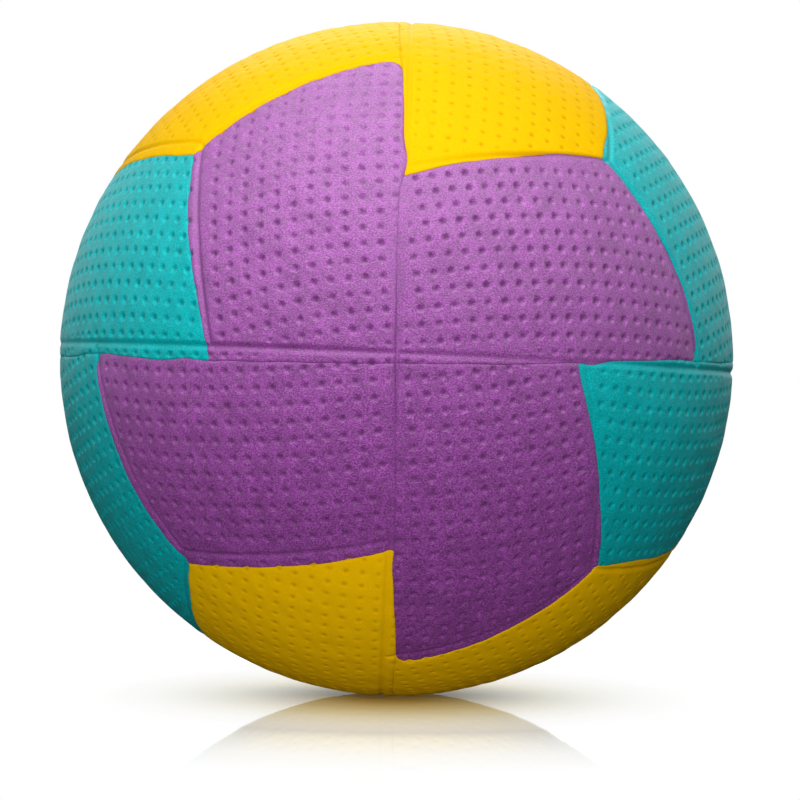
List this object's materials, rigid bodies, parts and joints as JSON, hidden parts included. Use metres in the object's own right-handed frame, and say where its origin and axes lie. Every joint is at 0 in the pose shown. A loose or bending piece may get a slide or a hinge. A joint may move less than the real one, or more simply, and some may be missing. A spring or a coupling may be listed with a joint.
{
  "type": "handball",
  "caption": "Soft three-colour handball with a dimpled foam-rubber cover of pinwheel panels, an inflated inner ball and a needle valve.",
  "frame": {"origin": "centre of the ball", "axes": "-Y through the middle of the front purple group, +Z through the middle of the top yellow group, +X through the middle of the right teal group"},
  "size_m": [0.1624, 0.1624, 0.1624],
  "materials": {
    "purple_foam": "matte dimpled foam rubber, purple",
    "yellow_foam": "satin dimpled foam rubber, yellow",
    "teal_foam": "matte dimpled foam rubber, teal",
    "carcass_rubber": "matte moulded rubber",
    "winding_yarn": "wound nylon yarn set in latex",
    "bladder_rubber": "smooth butyl rubber",
    "valve_rubber": "satin moulded rubber",
    "valve_plug": "satin moulded rubber"
  },
  "bodies": {
    "ball": {"front_panel_1": "purple_foam", "front_panel_2": "purple_foam", "front_panel_3": "purple_foam", "front_panel_4": "purple_foam", "back_panel_1": "purple_foam", "back_panel_2": "purple_foam", "back_panel_3": "purple_foam", "back_panel_4": "purple_foam", "top_panel_1": "yellow_foam", "top_panel_2": "yellow_foam", "top_panel_3": "yellow_foam", "top_panel_4": "yellow_foam", "bottom_panel_1": "yellow_foam", "bottom_panel_2": "yellow_foam", "bottom_panel_3": "yellow_foam", "bottom_panel_4": "yellow_foam", "left_panel_1": "teal_foam", "left_panel_2": "teal_foam", "left_panel_3": "teal_foam", "left_panel_4": "teal_foam", "right_panel_1": "teal_foam", "right_panel_2": "teal_foam", "right_panel_3": "teal_foam", "right_panel_4": "teal_foam", "carcass": "carcass_rubber", "winding": "winding_yarn", "bladder": "bladder_rubber", "valve_boot": "valve_rubber"},
    "valve_plug": {"valve_core": "valve_plug"}
  },
  "joints": [
    {"name": "valve_core_pull", "type": "slide", "parent": "ball", "child": "valve_plug", "axis": [0.316, 0.8532, 0.415], "range_m": [0, 0.03]}
  ]
}
